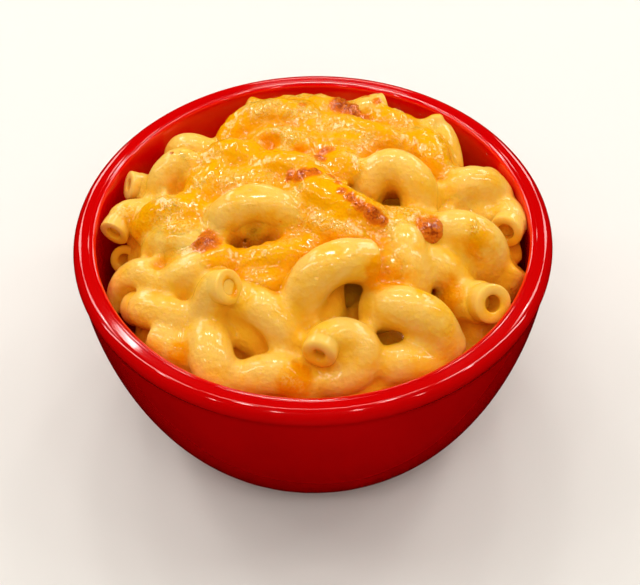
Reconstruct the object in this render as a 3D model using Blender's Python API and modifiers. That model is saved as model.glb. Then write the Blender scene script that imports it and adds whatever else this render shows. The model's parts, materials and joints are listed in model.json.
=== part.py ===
"""Macaroni cheese heaped in a small glazed bowl, built at real size.

Run with: blender --background --python part.py

The bowl is one turned piece: a foot ring, a curved wall and a thick rolled lip.
The food is one solid: a domed core that fills the bowl, with elbow macaroni lying
in and on it, each one a short bent tube. The origin is on the table under the
bowl's axis, +Z is up and -Y is the front.
"""

import math
import random

import bmesh
import bpy
from mathutils import Vector

MM = 0.001
WELD_GAP = 0.01 * MM  # points closer than this are one point

# ---- bowl ----
RIM_RADIUS = 56.0 * MM
BOWL_HEIGHT = 54.5 * MM
TURN_STEPS = 56
WALL_POINTS = 7  # stations up each side of the wall

# outer wall, a quarter of a superellipse from the belly up to the lip
BELLY_RADIUS = 34.0 * MM
BODY_RADIUS = RIM_RADIUS - 0.8 * MM
BODY_TOP = BOWL_HEIGHT - 5.6 * MM
BELLY_ROUND = 1.6

# foot ring, tucked under the belly
FOOT_RADIUS = 33.5 * MM
FOOT_WIDTH = 4.0 * MM
FOOT_HEIGHT = 1.8 * MM

# inner wall, rounder than the outer one
INNER_RADIUS = 51.2 * MM
FLOOR_HEIGHT = 6.0 * MM
INNER_TOP = BOWL_HEIGHT - 1.6 * MM
INNER_ROUND = 3.0

# rolled lip: the radius of each of its three rounds
LIP_INNER_ROUND = 1.0 * MM
LIP_OUTER_ROUND = 2.4 * MM
LIP_UNDER_ROUND = 1.6 * MM

# ---- food ----
REST_GAP = 0.3 * MM  # clearance between two touching solids
CORE_STEPS = 24
CORE_EDGE_HEIGHT = 37.0 * MM  # at the core's reach; it meets the bowl's wall a little higher
CORE_CROWN_HEIGHT = 58.0 * MM
CORE_FALL = 2.2  # how late the dome falls away
CORE_REACH = 53.0 * MM  # past the wall, so that the cavity's shape trims it
CORE_DEPTH = 20.0 * MM  # under the edge, where the cavity trims it again
CORE_POINTS = 6

TUBE_RADIUS = 4.5 * MM
TUBE_STATIONS = 5
TUBE_BEVEL = 2  # gives eight sides
UNDER_BEVEL = 1  # gives six, for the hidden layer

# Each elbow lies along a bend through its points, in millimetres.
ELBOWS = {
    # front row, against the near wall
    "left_low_stub": ((-36, -28, 46), (-30, -32, 48), (-24, -34, 45)),
    "front_left_bulge": ((-25, -29, 49), (-22, -37, 49), (-18, -41, 41)),
    "deep_pale": ((-20, -24, 46), (-14, -30, 48), (-9, -31, 44)),
    "front_bump": ((-16, -39, 43), (-10, -40, 49), (-2, -40, 43)),
    "curl": ((0, -41, 56), (3, -36, 54), (8, -34, 54), (11, -37, 50), (7, -40, 46), (2, -40, 45)),
    "under_right_arch": ((15, -31, 47), (20, -36, 49), (27, -36, 42)),
    # second row
    "left_wall_arch": ((-44, -14, 42), (-40, -12, 51), (-33, -17, 52)),
    "left_stub": ((-40, -19, 47), (-33, -23, 51), (-25, -26, 49)),
    "left_ledge": ((-35, -16, 49), (-28, -16, 56), (-19, -14, 57)),
    "tall_open": ((-18, -26, 62), (-20, -25, 57), (-23, -27, 52), (-22, -31, 45)),
    "pale_bridge": ((-17, -23, 53), (-9, -29, 55), (-6, -33, 47)),
    "front_arch": ((-4, -27, 47), (-1, -23, 59), (5, -20, 63), (13, -17, 60)),
    "under_arch": ((3, -22, 51), (9, -22, 53), (15, -15, 50)),
    "right_arch": ((12, -26, 53), (19, -26, 57), (27, -28, 52), (30, -31, 43)),
    "open_tube": ((32, -16, 42), (36, -19, 47), (40, -22, 51)),
    "right_wall_saddle": ((46, -7, 48), (44, -9, 47), (42, -11, 41)),
    # right flank
    "glossy_low": ((24, -8, 51), (29, -13, 53), (33, -11, 46)),
    "draped_ridge": ((18, -7, 58), (21, -15, 59), (22, -20, 51)),
    "right_shoulder": ((27, -4, 55), (38, -5, 55), (41, -13, 44)),
    "right_low_pale": ((46, 0, 45), (45, -2, 44), (42, -3, 41)),
    "right_open": ((44, -2, 53), (46, 6, 50), (42, 13, 47)),
    "right_bump": ((29, 8, 52), (37, 12, 55), (44, 13, 46)),
    "behind_bump": ((41, 23, 47), (43, 19, 49), (44, 16, 42)),
    "sparkle_right": ((26, 28, 53), (29, 17, 56), (29, 12, 51)),
    "loop_arch": ((14, 4, 53), (15, 9, 60), (19, 12, 61), (23, 10, 59), (25, 3, 53)),
    # middle
    "left_arch": ((-22, -5, 53), (-21, -2, 60), (-14, -1, 64), (-7, -4, 63), (-3, -5, 58)),
    "centre_low_soft": ((-14, -14, 56), (-7, -14, 60), (1, -11, 57)),
    "centre_soft": ((-13, 11, 57), (-5, 11, 62), (2, 7, 59)),
    "centre_slope": ((-1, 10, 60), (6, -2, 63), (14, -4, 59)),
    "centre_fill": ((1, -1, 58), (6, -9, 60), (13, -8, 56)),
    "centre_right": ((16, 2, 56), (21, -1, 58), (26, 4, 54)),
    "back_middle": ((-13, 22, 56), (-7, 22, 60), (-1, 16, 57)),
    "back_fill": ((3, 20, 57), (8, 21, 59), (13, 18, 56)),
    # left flank
    "left_gap_low": ((-42, 5, 45), (-38, -1, 46), (-36, -6, 45)),
    "left_low_open": ((-45, 0, 44), (-43, 2, 42), (-39, 0, 41)),
    "left_open": ((-46, 0, 52), (-43, 6, 51), (-36, 4, 51)),
    "left_back_open": ((-42, 18, 52), (-40, 15, 50), (-38, 9, 50)),
    "middle_left_soft": ((-39, 2, 50), (-32, 2, 57), (-25, -1, 56)),
    "soft_low_left": ((-36, -4, 50), (-30, -7, 57), (-23, -10, 55)),
    "upper_left_soft": ((-25, 15, 55), (-19, 18, 60), (-12, 15, 57)),
    "brown_tip_arch": ((-35, 11, 50), (-31, 17, 58), (-25, 10, 53)),
    "pale_back_left": ((-32, 29, 47), (-29, 27, 54), (-25, 25, 51)),
    # back row
    "back_left_tip": ((-15, 40, 54), (-11, 39, 54), (-6, 38, 50)),
    "back_left_arch": ((-20, 28, 53), (-13, 34, 57), (-2, 33, 57)),
    "crest_left": ((-6, 41, 53), (-1, 33, 57), (0, 24, 56)),
    "back_ridge": ((-3, 41, 53), (3, 39, 55), (10, 38, 52)),
    "back_tip": ((13, 41, 55), (16, 39, 55), (22, 36, 50)),
    "back_covered": ((6, 32, 55), (13, 25, 59), (22, 24, 55)),
    "back_right_tip": ((30, 32, 55), (32, 27, 53), (33, 22, 50)),
}

# Elbows of the layer underneath, in rings that show between the upper ones and along
# the wall: how many, how far out and how high.
UNDER_RINGS = (
    (14, 41.5 * MM, 44.0 * MM),
    (6, 25.0 * MM, 51.0 * MM),
)
UNDER_CHORD = 15.0 * MM
UNDER_RISE = 4.5 * MM
UNDER_TURN_SPREAD = math.radians(35)
UNDER_RADIUS_SPREAD = 1.5 * MM
UNDER_SEED = 5

GLAZE = {"color": (0.62, 0.006, 0.010, 1.0), "roughness": 0.12}
PASTA = {"color": (0.87, 0.50, 0.10, 1.0), "roughness": 0.35}


def clear_scene():
    """Remove every object of the open file."""
    for obj in list(bpy.data.objects):
        bpy.data.objects.remove(obj)


def make_collection(name):
    """Make a collection and link it to the scene."""
    collection = bpy.data.collections.new(name)
    bpy.context.scene.collection.children.link(collection)
    return collection


def make_material(name, finish):
    """Make a Principled material from a colour and a roughness."""
    material = bpy.data.materials.new(name)
    material.use_nodes = True
    shader = material.node_tree.nodes["Principled BSDF"]
    shader.inputs["Base Color"].default_value = finish["color"]
    shader.inputs["Roughness"].default_value = finish["roughness"]
    shader.inputs["Metallic"].default_value = 0.0
    return material


def arc(centre_x, centre_z, radius, start_deg, end_deg, points):
    """Return points along an arc in the X-Z plane, both ends included."""
    found = []
    for step in range(points):
        angle = math.radians(start_deg + (end_deg - start_deg) * step / (points - 1))
        found.append((centre_x + radius * math.cos(angle), centre_z + radius * math.sin(angle)))
    return found


def superellipse(part, power):
    """Return how far out a wall has come, 0 to 1, when it has risen by part of its height."""
    return (1.0 - (1.0 - part) ** power) ** (1.0 / power)


def inner_wall(clearance=0.0):
    """Return the inner wall's profile from the floor's middle to its top."""
    found = []
    for step in range(WALL_POINTS + 1):
        part = (step / WALL_POINTS) ** 1.5  # closer together where the floor turns up
        radius = INNER_RADIUS * superellipse(part, INNER_ROUND) - clearance
        height = FLOOR_HEIGHT + (INNER_TOP - FLOOR_HEIGHT) * part + clearance
        found.append((max(radius, 0.0), height))
    return found


def outer_wall():
    """Return the outer wall's profile from under the lip down to the belly."""
    found = []
    for step in range(WALL_POINTS, -1, -1):
        part = (step / WALL_POINTS) ** 1.5
        radius = BELLY_RADIUS + (BODY_RADIUS - BELLY_RADIUS) * superellipse(part, BELLY_ROUND)
        found.append((radius, BODY_TOP * part))
    return found


def lip():
    """Return the rolled lip's profile, from its inner corner over the top to its underside."""
    inner_x = INNER_RADIUS + LIP_INNER_ROUND
    outer_x = RIM_RADIUS - LIP_OUTER_ROUND
    under_x = RIM_RADIUS - LIP_UNDER_ROUND
    outer_z = BOWL_HEIGHT - LIP_OUTER_ROUND
    under_z = outer_z - 1.3 * MM
    found = arc(inner_x, INNER_TOP, LIP_INNER_ROUND, 160, 100, 2)
    found += arc(outer_x, outer_z, LIP_OUTER_ROUND, 90, 0, 4)
    found += arc(under_x, under_z, LIP_UNDER_ROUND, -20, -60, 2)
    return found


def foot():
    """Return the foot ring's profile, from its outer edge to the middle of the underside."""
    inside = FOOT_RADIUS - FOOT_WIDTH
    return [(FOOT_RADIUS, 0.0), (inside, 0.0), (inside - FOOT_HEIGHT, FOOT_HEIGHT), (0.0, FOOT_HEIGHT)]


def turned(name, profile, steps, collection):
    """Turn a profile in the X-Z plane about the Z axis.

    The profile runs down its outer side, so that the faces point out.
    """
    mesh = bpy.data.meshes.new(name)
    edges = [(index, index + 1) for index in range(len(profile) - 1)]
    mesh.from_pydata([(x, 0.0, z) for x, z in profile], edges, [])
    obj = bpy.data.objects.new(name, mesh)
    collection.objects.link(obj)
    screw = obj.modifiers.new("turn", "SCREW")
    screw.axis = "Z"
    screw.angle = math.tau
    screw.steps = steps
    screw.render_steps = steps
    screw.use_merge_vertices = True
    screw.merge_threshold = WELD_GAP
    screw.use_smooth_shade = True
    return obj


def as_cutter(obj):
    """Mark an object as one that only shapes another."""
    obj.hide_render = True
    obj.display_type = "WIRE"


def arc_through(start, middle, end, stations):
    """Return points along the circle's arc through three points."""
    first = middle - start
    whole = end - start
    normal = first.cross(whole)
    if normal.length < 1e-9:
        return [start.lerp(end, step / (stations - 1)) for step in range(stations)]
    offset = normal.cross(first) * whole.length_squared + whole.cross(normal) * first.length_squared
    centre = start + offset / (2.0 * normal.length_squared)
    side = start - centre
    ahead = normal.normalized().cross(side)
    sweep = math.atan2((end - centre).dot(ahead), (end - centre).dot(side)) % math.tau
    angles = [sweep * step / (stations - 1) for step in range(stations)]
    return [centre + side * math.cos(angle) + ahead * math.sin(angle) for angle in angles]


def curve_through(points, stations):
    """Return points along a Catmull-Rom curve through four or more points."""
    padded = [2 * points[0] - points[1], *points, 2 * points[-1] - points[-2]]
    spans = len(points) - 1
    found = []
    for step in range(stations):
        place = spans * step / (stations - 1)
        span = min(int(place), spans - 1)
        before, start, end, after = padded[span:span + 4]
        t = place - span
        found.append(0.5 * (
            2 * start
            + (end - before) * t
            + (2 * before - 5 * start + 4 * end - after) * t ** 2
            + (3 * start - before - 3 * end + after) * t ** 3
        ))
    return found


def bend(points):
    """Return the stations along an elbow's centre line."""
    if len(points) == 3:
        return arc_through(*points, TUBE_STATIONS)
    return curve_through(points, TUBE_STATIONS + len(points) - 3)


def elbow(name, points, bevel, collection):
    """Make one elbow as a closed bent tube, in mesh form so that it can be joined."""
    stations = bend(points)
    curve = bpy.data.curves.new(name, "CURVE")
    curve.dimensions = "3D"
    spline = curve.splines.new("POLY")
    spline.points.add(len(stations) - 1)
    for point, station in zip(spline.points, stations):
        point.co = (*station, 1.0)
    curve.bevel_depth = TUBE_RADIUS
    curve.bevel_resolution = bevel
    curve.use_fill_caps = True
    rod = bpy.data.objects.new(name, curve)
    collection.objects.link(rod)
    bpy.context.view_layer.update()
    mesh = bpy.data.meshes.new_from_object(rod.evaluated_get(bpy.context.evaluated_depsgraph_get()))
    shape = bmesh.new()
    shape.from_mesh(mesh)
    bmesh.ops.remove_doubles(shape, verts=shape.verts, dist=WELD_GAP)
    shape.to_mesh(mesh)
    shape.free()
    obj = bpy.data.objects.new(name, mesh)
    obj.matrix_world = rod.matrix_world
    bpy.data.objects.remove(rod)
    collection.objects.link(obj)
    as_cutter(obj)
    return obj


def under_elbows():
    """Return the bends of the under layer, spaced round each ring and each turned a little."""
    chance = random.Random(UNDER_SEED)
    rise = Vector((0.0, 0.0, UNDER_RISE))
    found = []
    for count, ring_radius, height in UNDER_RINGS:
        for index in range(count):
            around = math.tau * index / count
            radius = ring_radius - chance.random() * UNDER_RADIUS_SPREAD
            heading = around + math.pi / 2 + chance.uniform(-UNDER_TURN_SPREAD, UNDER_TURN_SPREAD)
            middle = Vector((radius * math.cos(around), radius * math.sin(around), height))
            half = Vector((math.cos(heading), math.sin(heading), 0.0)) * UNDER_CHORD / 2
            found.append((middle - half - rise, middle, middle + half - rise))
    return found


def core_profile():
    """Return the core's profile: a low dome, then down outside the wall and back to the axis."""
    found = []
    for step in range(CORE_POINTS + 1):
        part = step / CORE_POINTS
        drop = (CORE_CROWN_HEIGHT - CORE_EDGE_HEIGHT) * part ** CORE_FALL
        found.append((CORE_REACH * part, CORE_CROWN_HEIGHT - drop))
    base = FLOOR_HEIGHT - CORE_DEPTH
    found += [(CORE_REACH, base), (0.0, base)]
    return found


def cavity_profile():
    """Return the room inside the bowl: an open top well above the heap, then the wall and floor."""
    room_top = BOWL_HEIGHT + 2 * CORE_DEPTH
    wall = inner_wall(clearance=REST_GAP)
    wall.reverse()
    return [(0.0, room_top), (wall[0][0], room_top), *wall]


def combine(obj, operation, operand):
    """Add an exact Boolean with an object or a collection."""
    boolean = obj.modifiers.new(operation.lower(), "BOOLEAN")
    boolean.operation = operation
    boolean.solver = "EXACT"
    if isinstance(operand, bpy.types.Collection):
        boolean.operand_type = "COLLECTION"
        boolean.collection = operand
    else:
        boolean.object = operand
    return boolean


def keep_outer_shell(obj):
    """Apply an object's modifiers and fill the small pockets sealed between its joined shapes."""
    mesh = bpy.data.meshes.new_from_object(obj.evaluated_get(bpy.context.evaluated_depsgraph_get()))
    obj.modifiers.clear()
    shape = bmesh.new()
    shape.from_mesh(mesh)
    unseen = set(shape.verts)
    shells = []
    while unseen:
        shell = set()
        front = [unseen.pop()]
        while front:
            vert = front.pop()
            shell.add(vert)
            linked = {edge.other_vert(vert) for edge in vert.link_edges} & unseen
            unseen -= linked
            front += linked
        shells.append(shell)
    outer = max(shells, key=len)
    pockets = [vert for vert in shape.verts if vert not in outer]
    bmesh.ops.delete(shape, geom=pockets, context="VERTS")
    shape.to_mesh(mesh)
    shape.free()
    obj.data = mesh


def build_bowl(collection):
    """Make the bowl, wall and lip and foot in one turned piece."""
    profile = inner_wall()[:-1] + lip() + outer_wall() + foot()
    bowl = turned("bowl", profile, TURN_STEPS, collection)
    bowl.data.materials.append(make_material("glaze", GLAZE))
    return bowl


def build_heap(collection, cutters, pieces):
    """Make the heap of macaroni: the core and every elbow joined, then trimmed to the cavity."""
    heap = turned("macaroni_heap", core_profile(), CORE_STEPS, collection)
    heap.data.materials.append(make_material("pasta", PASTA))
    for name, places in ELBOWS.items():
        elbow(name, [Vector(place) * MM for place in places], TUBE_BEVEL, pieces)
    for index, points in enumerate(under_elbows(), start=1):
        elbow(f"under_elbow_{index:02d}", points, UNDER_BEVEL, pieces)
    cavity = turned("cavity", cavity_profile(), CORE_STEPS, cutters)
    as_cutter(cavity)
    combine(heap, "UNION", pieces).use_self = True
    combine(heap, "INTERSECT", cavity)
    weld = heap.modifiers.new("weld", "WELD")
    weld.merge_threshold = WELD_GAP
    bpy.context.view_layer.update()
    keep_outer_shell(heap)
    return heap


def main():
    clear_scene()
    collection = make_collection("macaroni_cheese")
    cutters = make_collection("cutters")
    pieces = make_collection("joined_elbows")
    build_bowl(collection)
    build_heap(collection, cutters, pieces)


main()
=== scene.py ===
"""Macaroni cheese in a glazed bowl: every visible piece and finish, built round the CAD frame.

The bowl is one turned shell. The food is three pieces: the hollow elbows of macaroni, the
cheese sauce that fills the bowl and clings between them, and the melted cheese on top with
its browned blisters. Lengths are in metres, and lists of places are in millimetres.
"""

import json
import logging
import math
import random
from collections.abc import Callable, Iterator, Sequence
from contextlib import contextmanager
from dataclasses import dataclass
from enum import Enum

import bpy
import numpy as np
from mathutils import Matrix, Vector, geometry, noise

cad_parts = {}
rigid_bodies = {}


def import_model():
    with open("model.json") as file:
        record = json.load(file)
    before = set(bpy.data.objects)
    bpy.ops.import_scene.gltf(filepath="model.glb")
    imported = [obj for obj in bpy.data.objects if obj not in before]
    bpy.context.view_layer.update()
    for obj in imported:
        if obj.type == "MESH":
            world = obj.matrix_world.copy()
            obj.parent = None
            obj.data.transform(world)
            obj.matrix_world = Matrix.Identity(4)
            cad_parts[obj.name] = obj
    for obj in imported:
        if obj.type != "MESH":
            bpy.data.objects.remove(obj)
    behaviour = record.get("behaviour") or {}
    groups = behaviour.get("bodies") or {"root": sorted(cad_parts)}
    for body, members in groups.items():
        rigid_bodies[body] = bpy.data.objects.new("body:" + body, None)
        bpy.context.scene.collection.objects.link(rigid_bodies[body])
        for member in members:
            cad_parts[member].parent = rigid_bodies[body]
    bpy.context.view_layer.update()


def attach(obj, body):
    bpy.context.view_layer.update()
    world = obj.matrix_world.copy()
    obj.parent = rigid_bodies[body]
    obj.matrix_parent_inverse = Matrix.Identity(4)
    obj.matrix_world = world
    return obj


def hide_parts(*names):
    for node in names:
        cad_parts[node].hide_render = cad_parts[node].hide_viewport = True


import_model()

MM = 0.001
ROOT = "root"
LOG = logging.getLogger("macaroni_cheese")

Colour = tuple[float, float, float]
Place = tuple[float, float, float]


# ---------------------------------------------------------------- modelling tools


class Workshop:
    """Steps that several pieces share, each done with Blender's own operators."""

    @staticmethod
    def take(*objects: bpy.types.Object) -> bpy.types.Object:
        """Select only these objects and make the first one active.

        Args:
            objects: The objects to work on next.

        Returns:
            The active object.
        """
        bpy.ops.object.select_all(action="DESELECT")
        for piece in objects:
            piece.select_set(True)
        bpy.context.view_layer.objects.active = objects[0]
        return objects[0]

    @staticmethod
    @contextmanager
    def editing(piece: bpy.types.Object, keep: bool = False) -> Iterator[None]:
        """Open a piece in edit mode, and close it afterwards.

        Args:
            piece: The mesh to edit.
            keep: Whether its selection is kept; otherwise everything is selected.
        """
        Workshop.take(piece)
        bpy.ops.object.mode_set(mode="EDIT")
        if not keep:
            bpy.ops.mesh.select_all(action="SELECT")
        yield
        bpy.ops.object.mode_set(mode="OBJECT")

    @staticmethod
    def apply(piece: bpy.types.Object, kind: str, **settings: object) -> None:
        """Add a modifier and apply it at once.

        Args:
            piece: The mesh to change.
            kind: The modifier's type.
            settings: The modifier's properties by name.
        """
        Workshop.take(piece)
        modifier = piece.modifiers.new(kind.lower(), kind)
        for name, value in settings.items():
            setattr(modifier, name, value)
        bpy.ops.object.modifier_apply(modifier=modifier.name)

    @staticmethod
    def copy(piece: bpy.types.Object, name: str) -> bpy.types.Object:
        """Copy a piece with a mesh of its own.

        Args:
            piece: The object to copy.
            name: The copy's name.

        Returns:
            The copy.
        """
        Workshop.take(piece)
        bpy.ops.object.duplicate(linked=False)
        twin = bpy.context.view_layer.objects.active
        twin.name = name
        return twin

    @staticmethod
    def join(pieces: Sequence[bpy.types.Object], name: str) -> bpy.types.Object:
        """Join several meshes into one.

        Args:
            pieces: The objects to join.
            name: The joined object's name.

        Returns:
            The joined object.
        """
        whole = Workshop.take(*pieces)
        bpy.ops.object.join()
        whole.name = name
        whole.data.name = name
        return whole

    @staticmethod
    def keep_shell(piece: bpy.types.Object) -> None:
        """Delete every closed-in hollow, so that only the outermost shell is left.

        Args:
            piece: The mesh to clear.
        """
        heights = Workshop.coordinates(piece)[:, 2]
        with Workshop.editing(piece):
            bpy.ops.mesh.select_all(action="DESELECT")
        piece.data.vertices[int(heights.argmax())].select = True
        with Workshop.editing(piece, keep=True):
            bpy.ops.mesh.select_linked()
            bpy.ops.mesh.select_all(action="INVERT")
            bpy.ops.mesh.delete(type="VERT")

    @staticmethod
    def settle(piece: bpy.types.Object) -> bpy.types.Object:
        """Move a piece's place, turn and scale into its mesh.

        Args:
            piece: The object to settle.

        Returns:
            The same object, now at the origin.
        """
        Workshop.take(piece)
        bpy.ops.object.transform_apply(location=True, rotation=True, scale=True)
        return piece

    @staticmethod
    def coordinates(piece: bpy.types.Object) -> np.ndarray:
        """Return a mesh's points as an array with one row for each."""
        flat = np.empty(len(piece.data.vertices) * 3, np.float32)
        piece.data.vertices.foreach_get("co", flat)
        return flat.reshape(-1, 3).astype(float)

    @staticmethod
    def normals(piece: bpy.types.Object) -> np.ndarray:
        """Return a mesh's point normals as an array with one row for each."""
        flat = np.empty(len(piece.data.vertices) * 3, np.float32)
        piece.data.vertex_normals.foreach_get("vector", flat)
        return flat.reshape(-1, 3).astype(float)

    @staticmethod
    def reshape(piece: bpy.types.Object, points: np.ndarray) -> None:
        """Move a mesh's points.

        Args:
            piece: The mesh to change.
            points: One row of coordinates for each point.
        """
        piece.data.vertices.foreach_set("co", points.astype(np.float32).ravel())
        piece.data.update()

    @staticmethod
    def softened(piece: bpy.types.Object, values: np.ndarray, rounds: int) -> np.ndarray:
        """Even out numbers given for a piece's points.

        Args:
            piece: The mesh.
            values: One number for each point.
            rounds: How many times each one is averaged with its neighbours.

        Returns:
            The new numbers.
        """
        pairs = np.empty(2 * len(piece.data.edges), dtype=np.int32)
        piece.data.edges.foreach_get("vertices", pairs)
        here, there = pairs.reshape(-1, 2).T
        count = np.bincount(pairs, minlength=len(values)) + 1
        for _ in range(rounds):
            near = np.bincount(here, values[there], len(values)) + np.bincount(there, values[here], len(values))
            values = (values + near) / count
        return values

    @staticmethod
    def paint(piece: bpy.types.Object, name: str, values: np.ndarray) -> None:
        """Store one number for each point, for a finish to read.

        Args:
            piece: The mesh to paint.
            name: The attribute's name.
            values: One number for each point.
        """
        layer = piece.data.attributes.new(name, "FLOAT", "POINT")
        layer.data.foreach_set("value", values.astype(np.float32))


def under_ceiling(points: np.ndarray) -> np.ndarray:
    """Press the points near the heap's greatest height softly under it.

    Args:
        points: One row of coordinates for each point.

    Returns:
        The points, none of them higher than 68 mm.
    """
    low, room = 66.6 * MM, 1.4 * MM
    pressed = points.copy()
    high = points[:, 2] > low
    pressed[high, 2] = low + room * (1.0 - np.exp((low - points[high, 2]) / room))
    return pressed


def smooth_step(low: float, high: float, values: np.ndarray) -> np.ndarray:
    """Return 0 below low, 1 above high and a smooth rise between."""
    part = np.clip((values - low) / (high - low), 0.0, 1.0)
    return part * part * (3.0 - 2.0 * part)


def ripple(points: np.ndarray, grain: float, seed: float) -> np.ndarray:
    """Return smooth noise, about -1 to 1, at each point.

    Args:
        points: One row of coordinates for each point.
        grain: The size of one ripple.
        seed: Moves the noise, so that two uses differ.

    Returns:
        One number for each point.
    """
    shift = Vector((seed, seed * 1.7, seed * 0.6))
    return np.array([noise.noise(Vector(point) / grain + shift) for point in points])


# ---------------------------------------------------------------- shader tools


class Value:
    """A shader number that can be written into a formula."""

    def __init__(self, bench: "NodeBench", socket: bpy.types.NodeSocket) -> None:
        """Wrap an output socket of a bench's tree."""
        self.bench = bench
        self.socket = socket

    def __add__(self, other: "Value | float") -> "Value":
        """Return the sum."""
        return self.bench.maths("ADD", self, other)

    def __radd__(self, other: float) -> "Value":
        """Return the sum with a number on the left."""
        return self.bench.maths("ADD", other, self)

    def __sub__(self, other: "Value | float") -> "Value":
        """Return the difference."""
        return self.bench.maths("SUBTRACT", self, other)

    def __rsub__(self, other: float) -> "Value":
        """Return the difference with a number on the left."""
        return self.bench.maths("SUBTRACT", other, self)

    def __mul__(self, other: "Value | float") -> "Value":
        """Return the product."""
        return self.bench.maths("MULTIPLY", self, other)

    def __rmul__(self, other: float) -> "Value":
        """Return the product with a number on the left."""
        return self.bench.maths("MULTIPLY", other, self)

    def clamped(self) -> "Value":
        """Return the value kept between 0 and 1."""
        return self.bench.maths("ADD", self, 0.0, use_clamp=True)

    def rise(self, low: float, high: float) -> "Value":
        """Return 0 below low, 1 above high and a smooth rise between."""
        settings = {"interpolation_type": "SMOOTHSTEP"}
        inputs = {"Value": self, "From Min": low, "From Max": high}
        return self.bench.make("ShaderNodeMapRange", settings, inputs, "Result")


class NodeBench:
    """One material's node tree, with short ways to add and join its nodes."""

    def __init__(self, name: str) -> None:
        """Start a material that has only its Principled shader and output."""
        self.material = bpy.data.materials.new(name)
        self.material.use_nodes = True
        self.tree = self.material.node_tree
        self.shader = self.tree.nodes["Principled BSDF"]

    def connect(self, socket: bpy.types.NodeSocket, value: object) -> None:
        """Link a value to a socket, or set a plain number, vector or colour on it.

        Args:
            socket: The input socket.
            value: A Value, an output socket, a number or a sequence of numbers.
        """
        if isinstance(value, Value):
            self.tree.links.new(value.socket, socket)
        elif isinstance(value, bpy.types.NodeSocket):
            self.tree.links.new(value, socket)
        elif isinstance(value, (int, float)):
            socket.default_value = value
        else:
            wide = len(socket.default_value) == 4 and len(value) == 3
            socket.default_value = (*value, 1.0) if wide else value

    def make(
        self,
        kind: str,
        settings: dict[str, object],
        inputs: dict[str | int, object],
        output: str | int,
    ) -> Value:
        """Add any node and return one of its outputs.

        Args:
            kind: The node's type name.
            settings: Its properties, set first; "stops" fills a colour ramp.
            inputs: A value or link for each named or numbered input.
            output: The output's name or number.

        Returns:
            The output, ready for a formula.
        """
        node = self.tree.nodes.new(kind)
        for name, value in settings.items():
            if name == "stops":
                self.fill_ramp(node.color_ramp, value)
            else:
                setattr(node, name, value)
        for name, value in inputs.items():
            self.connect(node.inputs[name], value)
        return Value(self, node.outputs[output])

    @staticmethod
    def fill_ramp(ramp: bpy.types.ColorRamp, stops: Sequence[tuple[float, Colour]]) -> None:
        """Set a ramp's stops, of which it starts with two."""
        for _ in range(len(stops) - 2):
            ramp.elements.new(0.5)
        for element, (position, colour) in zip(ramp.elements, stops):
            element.position = position
            element.color = (*colour, 1.0)

    def maths(self, operation: str, left: object, right: object, **settings: object) -> Value:
        """Return a Math node's result."""
        settings["operation"] = operation
        return self.make("ShaderNodeMath", settings, {0: left, 1: right}, 0)

    def attribute(self, name: str) -> Value:
        """Return a number painted on the mesh."""
        return self.make("ShaderNodeAttribute", {"attribute_name": name}, {}, "Fac")

    def place(self) -> Value:
        """Return the Object coordinates."""
        return self.make("ShaderNodeTexCoord", {}, {}, "Object")

    def cloud(self, scale: float, detail: float = 2.0, roughness: float = 0.5) -> Value:
        """Return noise, 0 to 1, over Object coordinates.

        Args:
            scale: Ripples in a metre.
            detail: How many finer layers it has.
            roughness: How strong the finer layers are.

        Returns:
            The noise.
        """
        inputs = {"Vector": self.place(), "Scale": scale, "Detail": detail, "Roughness": roughness}
        return self.make("ShaderNodeTexNoise", {}, inputs, "Fac")

    def cells(self, scale: float, feature: str = "F1") -> Value:
        """Return the distance to scattered points, over Object coordinates."""
        inputs = {"Vector": self.place(), "Scale": scale}
        return self.make("ShaderNodeTexVoronoi", {"feature": feature}, inputs, "Distance")

    def blend(self, factor: Value, low: object, high: object) -> Value:
        """Return a colour between two, at a factor from 0 to 1."""
        settings = {"data_type": "RGBA"}
        inputs = {"Factor": factor, 6: low, 7: high}
        return self.make("ShaderNodeMix", settings, inputs, 2)

    def bump(self, height: Value, strength: float, depth: float, under: object = None) -> Value:
        """Return a normal that follows a height.

        Args:
            height: The relief, 0 to 1.
            strength: How far the relief is followed.
            depth: The relief's depth in metres.
            under: Another bump that this one lies on.

        Returns:
            The normal.
        """
        inputs: dict[str | int, object] = {"Height": height, "Strength": strength, "Distance": depth}
        if under is not None:
            inputs["Normal"] = under
        return self.make("ShaderNodeBump", {}, inputs, "Normal")

    def finish(self, **sockets: object) -> bpy.types.Material:
        """Set the shader's sockets, named with underscores for spaces, and return the material."""
        for name, value in sockets.items():
            self.connect(self.shader.inputs[name.replace("_", " ")], value)
        return self.material


# ---------------------------------------------------------------- finishes


@dataclass(frozen=True)
class GlazeFinish:
    """Thick glossy red glaze on stoneware.

    Attributes:
        thick: The outer wall's colour where the glaze lies thick, painted darker than the inner wall as painted shade.
        thin: The outer wall's colour where the glaze is thinner, also painted darker as painted shade.
        inside: The inner wall's colour, painted brighter than the outer wall as painted light; the lip's top takes a
            third of it as a painted highlight.
    """

    thick: Colour = (0.38, 0.0002, 0.0006)
    thin: Colour = (0.45, 0.0004, 0.001)
    inside: Colour = (0.82, 0.0004, 0.0004)

    def material(self) -> bpy.types.Material:
        """Return the finish as a material."""
        bench = NodeBench("red_glaze")
        flow = bench.cloud(28.0, 3.0)
        outside = bench.blend(flow.rise(0.3, 0.7), self.thick, self.thin)
        return bench.finish(
            # Painted light: the inner wall, and the lip's top at a third of the strength, take the brighter inside
            # colour.
            Base_Color=bench.blend(bench.attribute("inner"), outside, self.inside),
            Roughness=0.38 + flow * 0.06,
            Coat_Weight=1.0,
            Coat_Roughness=0.06,
            Coat_IOR=1.7,
            Specular_IOR_Level=0.0,
        )


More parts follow.
